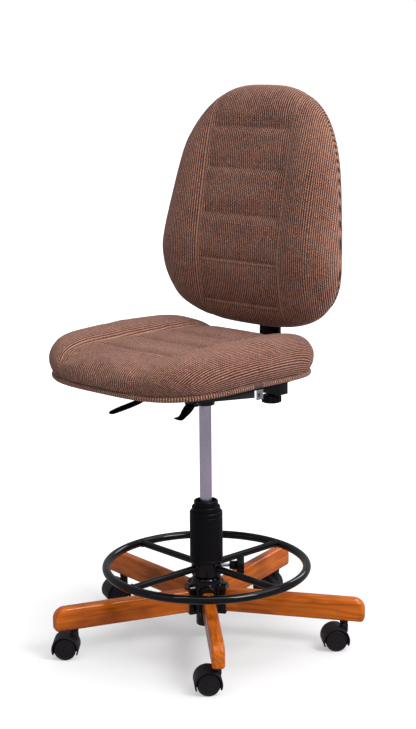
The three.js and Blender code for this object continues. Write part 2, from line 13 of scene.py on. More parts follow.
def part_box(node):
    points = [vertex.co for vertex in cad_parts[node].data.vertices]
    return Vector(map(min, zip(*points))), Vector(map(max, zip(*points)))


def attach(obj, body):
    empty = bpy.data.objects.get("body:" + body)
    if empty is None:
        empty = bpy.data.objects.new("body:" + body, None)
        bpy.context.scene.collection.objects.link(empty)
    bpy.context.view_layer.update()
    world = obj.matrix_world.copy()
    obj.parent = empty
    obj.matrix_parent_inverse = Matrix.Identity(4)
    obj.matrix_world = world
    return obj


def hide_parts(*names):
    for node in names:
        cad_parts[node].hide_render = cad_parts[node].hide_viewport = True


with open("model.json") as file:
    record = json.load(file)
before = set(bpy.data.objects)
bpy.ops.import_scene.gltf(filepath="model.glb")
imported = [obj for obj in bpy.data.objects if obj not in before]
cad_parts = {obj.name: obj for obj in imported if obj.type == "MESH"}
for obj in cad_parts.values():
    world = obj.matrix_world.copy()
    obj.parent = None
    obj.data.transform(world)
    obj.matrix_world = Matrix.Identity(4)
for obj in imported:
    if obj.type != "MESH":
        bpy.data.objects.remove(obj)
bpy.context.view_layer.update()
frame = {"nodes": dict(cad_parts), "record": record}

MM = 0.001
DEG = math.pi / 180
cylinder_low, cylinder_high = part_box("gas_cylinder")
AXIS = (cylinder_low + cylinder_high) / 2
AXIS.z = 0.0
scene = bpy.context.scene
scene.view_settings.view_transform = "Standard"


# ---- camera ---------------------------------------------------------------------------
YAW = 44 * DEG
PITCH = 11.81 * DEG
ROLL = -0.0085
camera_data = bpy.data.cameras.new("camera")
camera_data.lens = 77.74
camera_data.sensor_width = 36.0
camera_data.clip_end = 100.0
camera = bpy.data.objects.new("camera", camera_data)
scene.collection.objects.link(camera)
turn = Matrix.Rotation(YAW, 4, "Z")
aim = turn @ Matrix.Rotation(math.pi / 2 - PITCH, 4, "X") @ Matrix.Rotation(ROLL, 4, "Z")
place = turn @ Vector((0.0073, -3.4716, 1.3735)) + AXIS
camera.matrix_world = Matrix.Translation(place) @ aim
scene.camera = camera


# ---- mesh helpers ---------------------------------------------------------------------
def new_object(name, verts, faces, material):
    """A mesh object from points in millimetres about the column's axis."""
    data = bpy.data.meshes.new(name)
    points = np.asarray(verts, float) * MM + np.array(AXIS)
    data.from_pydata(points.tolist(), [], [list(map(int, f)) for f in faces])
    data.update()
    obj = bpy.data.objects.new(name, data)
    scene.collection.objects.link(obj)
    data.materials.append(material)
    return obj


def smooth(obj, angle=35):
    """Smooth shading, with a crisp edge where faces meet at more than the angle."""
    bm = bmesh.new()
    bm.from_mesh(obj.data)
    bmesh.ops.recalc_face_normals(bm, faces=bm.faces)
    for face in bm.faces:
        face.smooth = True
    for edge in bm.edges:
        edge.smooth = not edge.is_manifold or edge.calc_face_angle(0) < angle * DEG
    bm.to_mesh(obj.data)
    bm.free()
    return obj


def applied(obj):
    """The object with its modifiers baked into its mesh."""
    graph = bpy.context.evaluated_depsgraph_get()
    data = bpy.data.meshes.new_from_object(obj.evaluated_get(graph))
    obj.modifiers.clear()
    obj.data = data
    return obj


def bevelled(obj, width, segments=3, angle=30):
    """Rounds every edge sharper than the angle."""
    bevel = obj.modifiers.new("bevel", "BEVEL")
    bevel.width = width * MM
    bevel.segments = segments
    bevel.limit_method = "ANGLE"
    bevel.angle_limit = angle * DEG
    bevel.miter_outer = "MITER_ARC"
    return smooth(applied(obj), 40)


def co_of(obj):
    """The object's vertices in millimetres about the column's axis."""
    co = np.empty(len(obj.data.vertices) * 3)
    obj.data.vertices.foreach_get("co", co)
    return (co.reshape(-1, 3) - np.array(AXIS)) / MM


def set_co(obj, points):
    co = np.asarray(points) * MM + np.array(AXIS)
    obj.data.vertices.foreach_set("co", co.ravel())
    obj.data.update()


def normals_of(obj):
    n = np.empty(len(obj.data.vertices) * 3)
    obj.data.vertices.foreach_get("normal", n)
    return n.reshape(-1, 3)


def store(obj, name, values):
    """A vector for each vertex, which a material reads by name."""
    data = obj.data.attributes.new(name, "FLOAT_VECTOR", "POINT")
    data.data.foreach_set("vector", np.asarray(values, np.float32).ravel())
    return obj


def joined(name, parts):
    """One object from several."""
    bpy.ops.object.select_all(action="DESELECT")
    for part in parts:
        part.select_set(True)
    bpy.context.view_layer.objects.active = parts[0]
    if len(parts) > 1:
        bpy.ops.object.join()
    parts[0].name = name
    parts[0].data.name = name
    return parts[0]


def placed(verts, matrix):
    """The points after a matrix, still in millimetres."""
    return [matrix @ Vector(v) for v in verts]


def grid_faces(rows, cols, wrap_rows=False):
    """Four-sided faces between rows of points, each row a closed ring."""
    faces = []
    for i in range(rows if wrap_rows else rows - 1):
        for j in range(cols):
            a, b = i % rows, (i + 1) % rows
            c, d = j % cols, (j + 1) % cols
            faces.append((a * cols + c, a * cols + d, b * cols + d, b * cols + c))
    return faces


def end_faces(rows, cols):
    """The two faces that close a grid's first and last rows."""
    last = (rows - 1) * cols
    return [list(range(cols))[::-1], list(range(last, last + cols))]


def lathe(name, profile, material, matrix=Matrix(), sides=64, closed=False):
    """A turned piece about its own Z, from [radius, height] pairs in millimetres."""
    rings = [(max(r, 0.01), z) for r, z in profile]
    verts = []
    for r, z in rings:
        for k in range(sides):
            t = 2 * math.pi * k / sides
            verts.append((r * math.cos(t), r * math.sin(t), z))
    faces = grid_faces(len(rings), sides, wrap_rows=closed)
    obj = new_object(name, placed(verts, matrix), faces, material)
    bm = bmesh.new()
    bm.from_mesh(obj.data)
    bmesh.ops.remove_doubles(bm, verts=bm.verts, dist=0.00004)
    bm.to_mesh(obj.data)
    bm.free()
    return smooth(obj)


def rounded(profile, radius=1.0, steps=3, closed=False):
    """A profile with its corners rounded off by short arcs."""
    points = [Vector(p) for p in profile]
    out = []
    count = len(points)
    for i, p in enumerate(points):
        if not closed and i in (0, count - 1):
            out.append(p)
            continue
        before, after = points[i - 1], points[(i + 1) % count]
        reach = min(radius, (before - p).length / 2.1, (after - p).length / 2.1)
        a = p + (before - p).normalized() * reach
        b = p + (after - p).normalized() * reach
        for k in range(steps + 1):
            t = k / steps
            out.append(a * (1 - t) ** 2 + p * 2 * t * (1 - t) + b * t * t)
    return [(p.x, p.y) for p in out]


def extruded(name, outline, depth, material, matrix=Matrix(), bevel=0.0, segments=3):
    """A flat outline in its own XY plane, given a thickness along Z."""
    count = len(outline)
    verts = [(x, y, 0) for x, y in outline] + [(x, y, depth) for x, y in outline]
    faces = [list(range(count))[::-1], list(range(count, 2 * count))]
    for k in range(count):
        n = (k + 1) % count
        faces.append([k, n, count + n, count + k])
    obj = new_object(name, placed(verts, matrix), faces, material)
    smooth(obj)
    return bevelled(obj, bevel, segments, 50) if bevel else obj


def swept(name, path, radius, material, sides=16, closed=False):
    """A round tube along a path of points."""
    pts = [Vector(p) for p in path]
    verts = []
    side = None
    for i, p in enumerate(pts):
        if closed:
            along = pts[(i + 1) % len(pts)] - pts[i - 1]
        else:
            along = pts[min(i + 1, len(pts) - 1)] - pts[max(i - 1, 0)]
        along.normalize()
        if side is None:
            side = along.orthogonal().normalized()
        side = (side - along * side.dot(along)).normalized()
        other = along.cross(side)
        for k in range(sides):
            t = 2 * math.pi * k / sides
            verts.append(p + side * (radius * math.cos(t)) + other * (radius * math.sin(t)))
    faces = grid_faces(len(pts), sides, wrap_rows=closed) + ([] if closed else end_faces(len(pts), sides))
    return smooth(new_object(name, verts, faces, material), 50)


def refined(node, name, material, width, segments):
    """A new piece with the CAD node's shape and softened edges."""
    source = frame["nodes"][node].data.copy()
    source.materials.clear()
    obj = bpy.data.objects.new(name, source)
    obj.data.materials.append(material)
    scene.collection.objects.link(obj)
    bm = bmesh.new()
    bm.from_mesh(obj.data)
    bmesh.ops.remove_doubles(bm, verts=bm.verts, dist=0.00001)
    bmesh.ops.dissolve_limit(bm, angle_limit=1.0 * DEG, verts=bm.verts, edges=bm.edges)
    bm.to_mesh(obj.data)
    bm.free()
    return bevelled(obj, width, segments, 40)


def finished(obj, body, slot, *nodes):
    """Puts a piece on its body and hides the CAD it stands for; slot is not used."""
    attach(obj, body)
    if nodes:
        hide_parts(*nodes)
    return obj


def about_z(angle, x=0.0, y=0.0, z=0.0):
    return Matrix.Translation((x, y, z)) @ Matrix.Rotation(angle, 4, "Z")


# ---- material helpers -----------------------------------------------------------------
class Graph:
    """A node material, written as a chain of calls."""

    def __init__(self, name):
        self.material = bpy.data.materials.new(name)
        self.material.use_nodes = True
        self.tree = self.material.node_tree
        self.shader = self.tree.nodes["Principled BSDF"]

    def node(self, kind, inputs=None, **settings):
        n = self.tree.nodes.new("ShaderNode" + kind)
        for key, value in settings.items():
            setattr(n, key, value)
        for key, value in (inputs or {}).items():
            if isinstance(value, bpy.types.NodeSocket):
                self.tree.links.new(value, n.inputs[key])
            else:
                n.inputs[key].default_value = value
        return n

    def math(self, operation, a, b=0.0, c=0.0):
        return self.node("Math", {0: a, 1: b, 2: c}, operation=operation).outputs[0]

    def noise(self, vector, scale, detail=2.0, roughness=0.5, distortion=0.0):
        inputs = {"Vector": vector, "Scale": scale, "Detail": detail,
                  "Roughness": roughness, "Distortion": distortion}
        return self.node("TexNoise", inputs).outputs["Fac"]

    def remap(self, value, low, high, out_low=0.0, out_high=1.0):
        inputs = {"Value": value, "From Min": low, "From Max": high,
                  "To Min": out_low, "To Max": out_high}
        return self.node("MapRange", inputs, clamp=True).outputs["Result"]

    def mix(self, factor, a, b):
        n = self.node("Mix", {"Factor": factor}, data_type="RGBA")
        for key, value in ((6, a), (7, b)):
            if isinstance(value, bpy.types.NodeSocket):
                self.tree.links.new(value, n.inputs[key])
            else:
                n.inputs[key].default_value = (*value, 1.0)
        return n.outputs[2]

    def scaled(self, vector, x, y, z):
        return self.node("Mapping", {"Vector": vector, "Scale": (x, y, z)}).outputs[0]

    def place(self):
        return self.node("TexCoord").outputs["Object"]

    def stored(self, name):
        return self.node("Attribute", attribute_name=name)

    def bump(self, height, strength, distance):
        inputs = {"Height": height, "Strength": strength, "Distance": distance}
        return self.node("Bump", inputs).outputs["Normal"]

    def set(self, **values):
        for key, value in values.items():
            socket = self.shader.inputs[key.replace("_", " ")]
            if isinstance(value, bpy.types.NodeSocket):
                self.tree.links.new(value, socket)
            elif isinstance(value, tuple):
                socket.default_value = (*value, 1.0)
            else:
                socket.default_value = value
        return self


RIB_PITCH = 0.0058
THREAD_PITCH = 0.0052


def fabric_material(name, light, dark, fleck):
    """Ribbed woven upholstery. The stored vector holds metres across and along the ribs, and a
    third value that lightens the cloth above zero, for lighter seam lines and painted highlights, and darkens
    it below zero, for painted shade in creases."""
    g = Graph(name)
    weave_and_shading = g.node("SeparateXYZ", {0: g.stored("weave_and_shading").outputs["Vector"]}).outputs
    across, along, seam = weave_and_shading[0], weave_and_shading[1], weave_and_shading[2]
    place = g.place()
    wander = g.math("MULTIPLY", g.noise(place, 22.0, 1.0), 0.0011)
    drift = g.math("ADD", across, wander)
    rib_wave = g.math("SINE", g.math("MULTIPLY", drift, 2 * math.pi / RIB_PITCH))
    rib = g.math("MULTIPLY_ADD", rib_wave, 0.5, 0.5)
    row = g.math("FLOOR", g.math("DIVIDE", drift, RIB_PITCH))
    stagger = g.math("MULTIPLY_ADD", row, THREAD_PITCH / 2, along)
    thread_wave = g.math("SINE", g.math("MULTIPLY", stagger, 2 * math.pi / THREAD_PITCH))
    thread = g.math("MULTIPLY_ADD", thread_wave, 0.5, 0.5)
    slub = g.noise(place, 330.0, 2.0, 0.65)
    twist = g.noise(place, 95.0, 2.0, 0.6)
    crest = g.math("POWER", rib, 1.25)
    nub = g.math("MULTIPLY", crest, g.math("MULTIPLY_ADD", thread, 0.42, 0.62))
    uneven = g.math("ADD", g.math("MULTIPLY", slub, 1.15), g.math("MULTIPLY", twist, 0.55))
    lift = g.math("ADD", nub, g.math("SUBTRACT", uneven, 0.85))
    ground = g.mix(g.remap(lift, 0.20, 0.82), dark, light)
    flecks = g.math("MULTIPLY", g.remap(g.noise(place, 430.0, 1.0), 0.54, 0.66), nub)
    speckled = g.mix(g.math("MULTIPLY", flecks, 0.8), ground, fleck)
    patch = g.noise(place, 9.0, 3.0, 0.6)
    worn = g.mix(g.remap(patch, 0.35, 0.7, 0.0, 0.08), speckled, fleck)
    # Painted light and shade: above zero the third stored value lightens seam lines and paints highlights,
    # below zero it paints shade into creases.
    seams_and_painted_highlights = g.mix(g.math("MULTIPLY", seam, 0.25), worn, fleck)
    painted_crease_shade = g.mix(g.math("MULTIPLY", seam, -0.7), seams_and_painted_highlights, dark)
    height = g.math("ADD", nub, g.math("MULTIPLY", slub, 0.35))
    g.set(Base_Color=painted_crease_shade, Normal=g.bump(height, 1.0, 0.0018))
    g.set(Roughness=0.92, Specular_IOR_Level=0.22, Sheen_Weight=0.18, Sheen_Roughness=0.45)
    g.set(Sheen_Tint=(0.95, 0.78, 0.70))
    return g.material


def wood_material(name, light, middle, dark):
    """Varnished hardwood. The stored grain runs along its own X, in metres."""
    g = Graph(name)
    grain = g.stored("grain").outputs["Vector"]
    warp = g.noise(g.scaled(grain, 3.0, 14.0, 14.0), 1.0, 3.0, 0.55)
    bent = g.node("VectorMath", {0: grain, 1: g.node(
        "CombineXYZ", {1: g.math("MULTIPLY", warp, 0.030), 2: g.math("MULTIPLY", warp, 0.055)}
    ).outputs[0]}, operation="ADD").outputs[0]
    rings = g.node("TexWave", {
        "Vector": g.scaled(bent, 0.12, 1.0, 1.0), "Scale": 24.0, "Distortion": 2.2,
        "Detail": 2.0, "Detail Scale": 1.4,
    }, wave_type="RINGS", rings_direction="X").outputs["Fac"]
    fibre = g.noise(g.scaled(grain, 9.0, 420.0, 420.0), 1.0, 4.0, 0.65)
    streak = g.noise(g.scaled(grain, 4.5, 46.0, 60.0), 1.0, 3.0, 0.55)
    blotch = g.noise(g.scaled(grain, 9.0, 16.0, 16.0), 1.0, 2.0, 0.5)
    body = g.mix(g.remap(rings, 0.35, 1.0, 0.0, 0.55), light, middle)
    lined = g.mix(g.remap(fibre, 0.45, 0.75, 0.0, 0.5), body, dark)
    streaked = g.mix(g.remap(streak, 0.56, 0.72, 0.0, 0.45), lined, dark)
    toned = g.mix(g.remap(blotch, 0.48, 0.72, 0.0, 0.6), streaked, dark)
    g.set(Base_Color=toned, Roughness=g.remap(fibre, 0.3, 0.8, 0.30, 0.42))
    g.set(Normal=g.bump(g.math("ADD", fibre, rings), 0.10, 0.0006))
    g.set(Coat_Weight=0.55, Coat_Roughness=0.07, Coat_IOR=1.5, Specular_IOR_Level=0.08)
    return g.material


def coated_material(name, colour, roughness, grain_scale, grain, specular=0.5, wear=0.25):
    """Paint or moulded plastic: a fine surface texture and slightly uneven gloss."""
    g = Graph(name)
    place = g.place()
    fine = g.noise(place, grain_scale, 3.0, 0.6)
    broad = g.noise(place, 14.0, 3.0, 0.6)
    lighter = tuple(min(1.0, c * 1.7 + 0.004) for c in colour)
    g.set(Base_Color=g.mix(g.remap(broad, 0.35, 0.75, 0.0, wear), colour, lighter))
    g.set(Roughness=g.remap(broad, 0.3, 0.7, roughness * 0.85, roughness * 1.2))
    g.set(Normal=g.bump(fine, grain, 0.0004), Specular_IOR_Level=specular)
    return g.material


def metal_material(name, colour, roughness, stretch, strength):
    """Bare or plated steel with fine marks; stretch sets the way they run."""
    g = Graph(name)
    place = g.place()
    marks = g.noise(g.scaled(place, *stretch), 1.0, 4.0, 0.6)
    broad = g.noise(place, 18.0, 3.0, 0.6)
    darker = tuple(c * 0.72 for c in colour)
    g.set(Base_Color=g.mix(g.remap(broad, 0.4, 0.75, 0.0, 0.5), colour, darker))
    g.set(Roughness=g.remap(marks, 0.3, 0.7, roughness * 0.8, roughness * 1.25))
    g.set(Normal=g.bump(marks, strength, 0.0002), Metallic=1.0)
    return g.material


def plywood_material(name):
    """Bare plywood: pale face veneer with soft lines that run front to back."""
    g = Graph(name)
    place = g.place()
    lines = g.noise(g.scaled(place, 60.0, 5.0, 400.0), 1.0, 4.0, 0.6)
    plies = g.math("SINE", g.math("MULTIPLY", g.node("SeparateXYZ", {0: place}).outputs[2], 2400.0))
    face = g.mix(g.remap(lines, 0.3, 0.75), (0.50, 0.33, 0.17), (0.30, 0.17, 0.075))
    g.set(Base_Color=g.mix(g.remap(plies, 0.0, 1.0, 0.0, 0.25), face, (0.22, 0.12, 0.05)))
    g.set(Roughness=0.75, Normal=g.bump(lines, 0.2, 0.0004))
    return g.material


UPHOLSTERY = fabric_material(
    "ribbed_weave", (0.45, 0.186, 0.134), (0.030, 0.0078, 0.0072), (0.76, 0.45, 0.29)
)
WOOD = wood_material("varnished_wood", (0.64, 0.145, 0.0065), (0.39, 0.068, 0.0033), (0.06, 0.0078, 0.002))
PAINT = coated_material("gloss_black_paint", (0.0016, 0.0014, 0.0026), 0.085, 420.0, 0.04, 0.34)
PLASTIC = coated_material("moulded_black_plastic", (0.0034, 0.0028, 0.0042), 0.44, 1900.0, 0.25, 0.12)
NYLON = coated_material("black_nylon", (0.0105, 0.0082, 0.0114), 0.48, 1500.0, 0.2, 0.20)
STEEL = metal_material("satin_steel", (0.84, 0.74, 0.93), 0.30, (260.0, 260.0, 900.0), 0.10)
ZINC = metal_material("bright_zinc", (0.62, 0.64, 0.68), 0.28, (500.0, 500.0, 500.0), 0.15)
PLYWOOD = plywood_material("bare_plywood")
SLOT_MATERIALS = {
    "upholstery": UPHOLSTERY, "wood": WOOD, "plywood": PLYWOOD, "black_paint": PAINT,
    "black_plastic": PLASTIC, "nylon": NYLON, "satin_steel": STEEL, "zinc": ZINC,
}
for entry in frame["record"]["subparts"]:
    carried = frame["nodes"][entry["node"]]
    carried.data.materials.clear()
    carried.data.materials.append(SLOT_MATERIALS[entry["material_slot"]])


# ---- shared upholstery helpers --------------------------------------------------------
def power(value, exponent):
    return np.sign(value) * np.abs(value) ** exponent


def ease(value):
    """From 0 to 1 with level ends."""
    t = np.clip(value, 0, 1)
    return t * t * (3 - 2 * t)


def chaikin(profile, rounds=2):
    """A softened polyline that keeps its first and last points."""
    pts = [np.array(p, float) for p in profile]
    for _ in range(rounds):
        out = [pts[0]]
        for a, b in zip(pts, pts[1:]):
            out += [a * 0.75 + b * 0.25, a * 0.25 + b * 0.75]
        out.append(pts[-1])
        pts = out
    return pts


def spread(profile, outline, sides):
    """Rows of points: each profile entry is [share of the outline, height]."""
    angles = np.linspace(0, 2 * math.pi, sides, endpoint=False)
    ox, oy = outline(angles)
    rows = [np.stack([ox * r, oy * r, np.full(sides, h)], 1) for r, h in profile]
    return np.concatenate(rows), grid_faces(len(profile), sides)


def voxel_remeshed(obj, size):
    """An even quad mesh, with its edge length in millimetres."""
    remesh = obj.modifiers.new("remesh", "REMESH")
    remesh.mode = "VOXEL"
    remesh.voxel_size = size * MM
    return applied(obj)


def swollen(obj, held, pressure, cap):
    """Cloth blown up from inside. held gives each point's grip, from 0 to 1."""
    before = co_of(obj)
    group = obj.vertex_groups.new(name="held")
    for index, weight in enumerate(held):
        if weight > 0:
            group.add([index], float(weight), "REPLACE")
    cloth = obj.modifiers.new("cloth", "CLOTH")
    cloth.settings.quality = 5
    cloth.settings.mass = 0.3
    cloth.settings.tension_stiffness = 25
    cloth.settings.compression_stiffness = 25
    cloth.settings.shear_stiffness = 8
    cloth.settings.bending_stiffness = 1.5
    cloth.settings.use_pressure = True
    cloth.settings.uniform_pressure_force = pressure
    cloth.settings.effector_weights.gravity = 0
    cloth.settings.vertex_group_mass = "held"
    cloth.collision_settings.use_collision = False
    cloth.point_cache.frame_start = 1
    cloth.point_cache.frame_end = 20
    for step in range(1, 21):
        scene.frame_set(step)
    applied(obj)
    move = co_of(obj) - before
    far = np.linalg.norm(move, axis=1)
    keep = np.minimum(1, cap / np.maximum(far, 1e-6))
    set_co(obj, before + move * keep[:, None])
    scene.frame_set(1)
    obj.vertex_groups.clear()
    return obj


def subdivided(obj, levels=1):
    sub = obj.modifiers.new("sub", "SUBSURF")
    sub.levels = levels
    sub.render_levels = levels
    return applied(obj)


def gauss(distance, width):
    """A smooth bump, 1 at no distance."""
    return np.exp(-((distance / width) ** 2))


def run_along(points):
    """The distance from a path's first point to each of its points."""
    return np.concatenate([[0], np.cumsum(np.linalg.norm(np.diff(points, axis=0), axis=1))])


def stitches(name, path, material, body, step=4.2, length=2.9, radius=0.42):
    """A row of sewn stitches along a path of (point, normal) pairs."""
    points = np.array([p for p, _ in path], float)
    ups = np.array([n for _, n in path], float)
    run = run_along(points)
    verts, faces = [], []
    rings = ((-0.5, 0.35, -0.5), (-0.3, 0.9, 0.1), (0.0, 1.0, 0.35), (0.3, 0.9, 0.1), (0.5, 0.35, -0.5))
    for at in np.arange(step, run[-1] - step, step):
        p = Vector([np.interp(at, run, points[:, k]) for k in range(3)])
        q = Vector([np.interp(at + 1, run, points[:, k]) for k in range(3)])
        up = Vector([np.interp(at, run, ups[:, k]) for k in range(3)]).normalized()
        along = (q - p).normalized()
        side = along.cross(up).normalized()
        base = len(verts)
        for shift, swell, rise in rings:
            centre = p + along * (shift * length) + up * (rise * radius)
            for k in range(6):
                t = k * math.pi / 3
                r = radius * swell
                verts.append(centre + side * (r * math.cos(t)) + up * (r * math.sin(t)))
        for a, b, c, d in grid_faces(5, 6):
            faces.append((base + a, base + b, base + c, base + d))
        faces.append([base + k for k in range(6)][::-1])
        faces.append([base + 24 + k for k in range(6)])
    return finished(smooth(new_object(name, verts, faces, material), 80), body, "upholstery")


def thread_material(name):
    """Twisted sewing thread."""
    g = Graph(name)
    twist = g.noise(g.scaled(g.place(), 900.0, 900.0, 900.0), 1.0, 2.0)
    g.set(Base_Color=g.mix(twist, (0.30, 0.16, 0.11), (0.60, 0.40, 0.29)))
    g.set(Roughness=0.7, Normal=g.bump(twist, 0.3, 0.0002))
    return g.material


THREAD = thread_material("sewing_thread")


# ---- seat -----------------------------------------------------------------------------
SEAT_HALF_WIDTH = 247.0
SEAT_FRONT, SEAT_REAR = -322.0, 164.0
SEAT_MIDDLE = (SEAT_FRONT + SEAT_REAR) / 2
SEAT_HALF_LENGTH = (SEAT_REAR - SEAT_FRONT) / 2
SEAT_TOP = 714.0
SEAT_WAIST = 680.0
SEAT_CHANNELS = (-205.0, -98.0, 8.0)


def seat_outline(angles):
    """The seat's plan about its own middle: a rounded square, a little wider behind."""
    along = power(np.sin(angles), 2 / 3.5)
    wide = SEAT_HALF_WIDTH * power(np.cos(angles), 2 / 3.5) * (1 + 0.03 * along)
    return wide, SEAT_HALF_LENGTH * along


def seat_crown(x, y):
    """Height over the cushion's plan, with y from the seat's own middle."""
    y = y + SEAT_MIDDLE
    side = 17 * ease((np.abs(x) - 90) / 100)
    front = np.maximum(0, (SEAT_FRONT + 110 - y) / 110)
    rear = np.maximum(0, (y - SEAT_REAR + 105) / 105)
    return side * (1 - 0.3 * front**2) - 14 * front**2 - 16 * rear**2


def seam_rise(y):
    """The piping's seam is highest midway along the sides."""
    return 9 * (1 - (y / SEAT_HALF_LENGTH) ** 2)


def seat_seam(y):
    """How far out the lengthwise seams lie, y from the column."""
    return 114 + 13 * ease((60 - y) / 340)


def seat_channel(x, start):
    """The cross channels bow forward in the middle."""
    return start - 17 * (1 - (np.abs(x) / 118) ** 2)


profile = chaikin([
    (0, 643), (0.6, 643), (0.955, 643), (0.990, 644.5), (1.010, 652), (1.028, 664), (1.034, 680),
    (1.012, 697), (0.955, 708), (0.86, 713), (0.62, 713), (0.3, 712), (0, 712),
])
points, faces = spread(profile, seat_outline, 160)
share = np.maximum(0, (points[:, 2] - 664) / 50)
rise = np.where(points[:, 2] > 643.5, seam_rise(points[:, 1]) * (1 - np.minimum(1, share)), 0)
points[:, 2] += rise + share * seat_crown(points[:, 0], points[:, 1])
points[:, 1] += SEAT_MIDDLE
seat = new_object("seat_upholstery", points, faces, UPHOLSTERY)
smooth(seat)
voxel_remeshed(seat, 6.0)
co = co_of(seat)
on_top = co[:, 2] > 672
seam_gap = np.abs(co[:, 0]) - seat_seam(co[:, 1])
held = np.where(co[:, 2] < 648 + seam_rise(co[:, 1] - SEAT_MIDDLE), 1.0, 0.0)
held = np.maximum(held, np.where((np.abs(seam_gap) < 5) & on_top, 0.35, 0))
for start in SEAT_CHANNELS:
    near = np.abs(co[:, 1] - seat_channel(co[:, 0], start)) < 5
    held = np.maximum(held, np.where(near & (seam_gap < 0) & on_top, 0.35, 0))
swollen(seat, held, 4.0, 7.0)
subdivided(seat)
co, normal = co_of(seat), normals_of(seat)
seam_gap = np.abs(co[:, 0]) - seat_seam(co[:, 1])
facing = ease((normal[:, 2] * 0.7 - normal[:, 1] * 0.7 + 0.15) / 0.35)
upward = ease((normal[:, 2] - 0.55) / 0.3)
# A lighter line along each lengthwise seam on faces turned up and forward; the channels below add painted
# light and shade to the same value.
seam_and_painted_shading = 0.8 * gauss(seam_gap - 1, 1.8) * facing
dip = 1.5 * gauss(seam_gap, 3.5) * facing + 3.4 * gauss(seam_gap + 14, 20) * facing
dip -= 1.8 * gauss(seam_gap - 20, 18) * facing
for start in SEAT_CHANNELS:
    gap = co[:, 1] - seat_channel(co[:, 0], start)
    inner = ease(-seam_gap / 36) * upward
    depth = 1.0 if start < -50 else 0.6
    dip += inner * depth * (3.0 * gauss(gap, 4.0) + 6.5 * gauss(gap - 9, 15) - 4.5 * gauss(gap + 20, 15))
    # Painted light and shade on each channel: a highlight on its front lip, a dark crease just behind it and
    # a softer shade further back.
    lit = 0.25 * gauss(gap + 9, 6) - 0.9 * gauss(gap - 3, 4) - 0.35 * gauss(gap - 14, 12)
    seam_and_painted_shading += inner * depth * lit
co -= normal * dip[:, None]
set_co(seat, co)
crest = SEAT_TOP + seat_crown(co[:, 0], co[:, 1] - SEAT_MIDDLE)
below_waist = np.maximum(0, SEAT_WAIST - co[:, 2])
shoulder = np.maximum(0, crest - np.maximum(co[:, 2], SEAT_WAIST))
drop = shoulder * (0.45 + 0.45 * ease(shoulder / 26)) + below_waist + 0.1 * below_waist**1.5
outer = ease((np.abs(co[:, 0]) - 90) / 110)
fall = np.maximum(0, SEAT_TOP - co[:, 2]) * (1 - outer)
store(seat, "weave_and_shading", np.stack([
    np.sign(co[:, 0]) * (np.abs(co[:, 0]) + outer * drop) * MM, (co[:, 1] - fall) * MM, seam_and_painted_shading,
], 1))
smooth(seat, 180)
finished(seat, "seat", "upholstery", "seat_cushion")


def surface_path(obj, samples, towards):
    """Points dropped onto a surface along a direction, as (point, normal) pairs."""
    graph = bpy.context.evaluated_depsgraph_get()
    found = []
    for p in samples:
        start = Vector(p) * MM + AXIS
        hit, where, up, _ = obj.evaluated_get(graph).ray_cast(start, Vector(towards))
        if hit:
            found.append((((where - AXIS) / MM)[:], up[:]))
    return found


for side, word in ((1, "left"), (-1, "right")):
    rows = [(side * (seat_seam(y) + 4.5), y, 800) for y in np.arange(140, -292, -6.0)]
    path = surface_path(seat, rows, (0, 0, -1))
    stitches(f"seat_stitching_{word}", path, THREAD, "seat")

angles = np.linspace(0, 2 * math.pi, 260, endpoint=False)
ox, oy = seat_outline(angles)
piping_path = np.stack([ox * 0.99, oy * 0.99 + SEAT_MIDDLE, 641.2 + seam_rise(oy)], 1)
piping = swept("seat_welt", piping_path, 6.0, UPHOLSTERY, 14, closed=True)
along = np.repeat(run_along(piping_path), 14)
girth = np.tile(np.arange(14) * 6.0 * 2 * math.pi / 14, 260)
store(piping, "weave_and_shading", np.stack([along * MM, girth * MM, np.full(len(along), 0.12)], 1))
finished(piping, "seat", "upholstery", "seat_piping")


# ---- backrest -------------------------------------------------------------------------
BACK_HALF_WIDTH = 246.0
BACK_BOTTOM, BACK_TOP = 719.0, 1263.0
BACK_MIDDLE = (BACK_TOP + BACK_BOTTOM) / 2
BACK_HALF_HEIGHT = (BACK_TOP - BACK_BOTTOM) / 2
BACK_LUMBAR = 890.0
BACK_SEAM = 121.0
BACK_STITCHED = (773.0, 872.0)
BACK_CHANNELS = (977.0, 1080.0, 1172.0)


def back_outline(angles):
    """The backrest seen from the front: an egg, narrower at the top."""
    up = power(np.sin(angles), 2 / 3)
    wide = BACK_HALF_WIDTH * power(np.cos(angles), 2 / 3) * (1 - 0.193 * up)
    return wide, BACK_HALF_HEIGHT * up


def back_spine(z):
    """The backrest's mid-line from the side, hollowed at the lumbar height."""
    above = np.maximum(0, z - BACK_LUMBAR) / (BACK_TOP - BACK_LUMBAR)
    below = np.maximum(0, BACK_LUMBAR - z) / (BACK_LUMBAR - BACK_BOTTOM)
    return 146 + 70 * above**1.2 + 24 * below**1.6


def back_layer(name, layers, sides, material):
    """A closed shape round the spine: each layer is [share of the outline, distance ahead]."""
    pts, quads = spread(layers, back_outline, sides)
    height = BACK_MIDDLE + pts[:, 1]
    turned = np.stack([pts[:, 0], back_spine(height) - pts[:, 2], height], 1)
    return smooth(new_object(name, turned, quads, material))


